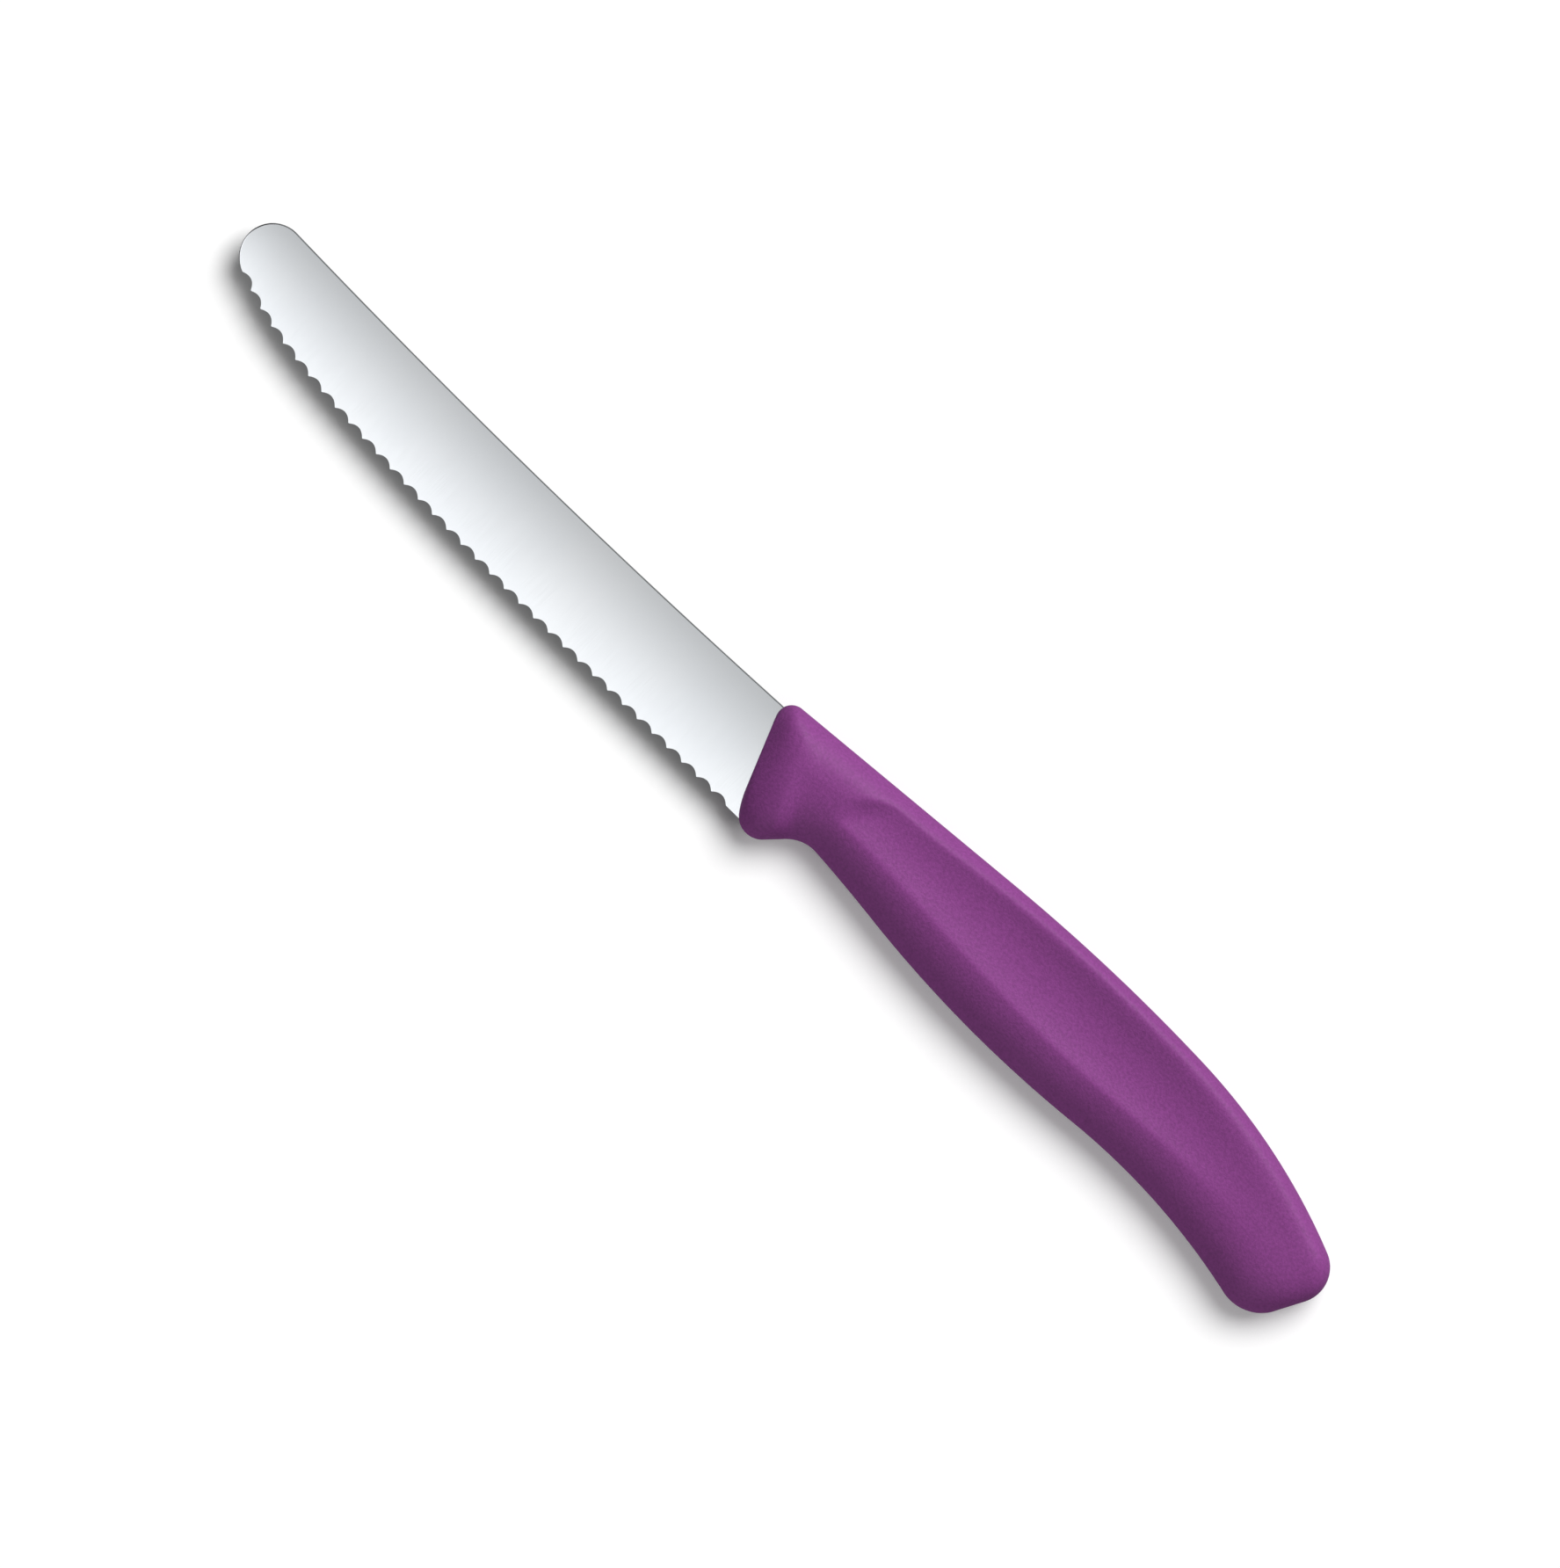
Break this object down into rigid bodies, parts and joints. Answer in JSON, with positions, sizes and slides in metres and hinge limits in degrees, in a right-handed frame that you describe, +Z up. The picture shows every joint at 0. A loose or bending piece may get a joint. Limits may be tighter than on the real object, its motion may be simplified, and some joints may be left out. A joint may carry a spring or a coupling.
{
  "type": "tomato knife",
  "caption": "Small serrated kitchen knife with a round tip, lying on its side: a thin one-piece blade and tang in a moulded plastic handle with finger hollows.",
  "frame": {"origin": "under the middle of the lying knife's bounding box, on the surface it lies on", "axes": "+X towards the blade's tip, +Y the way the cutting edge faces, +Z up, out of the blade's plain face"},
  "size_m": [0.2258, 0.0234, 0.012],
  "materials": {
    "steel": "satin, ground across its width",
    "handle": "matte with a fine moulded grain"
  },
  "bodies": {
    "root": {"blade": "steel", "handle": "handle"}
  },
  "joints": []
}
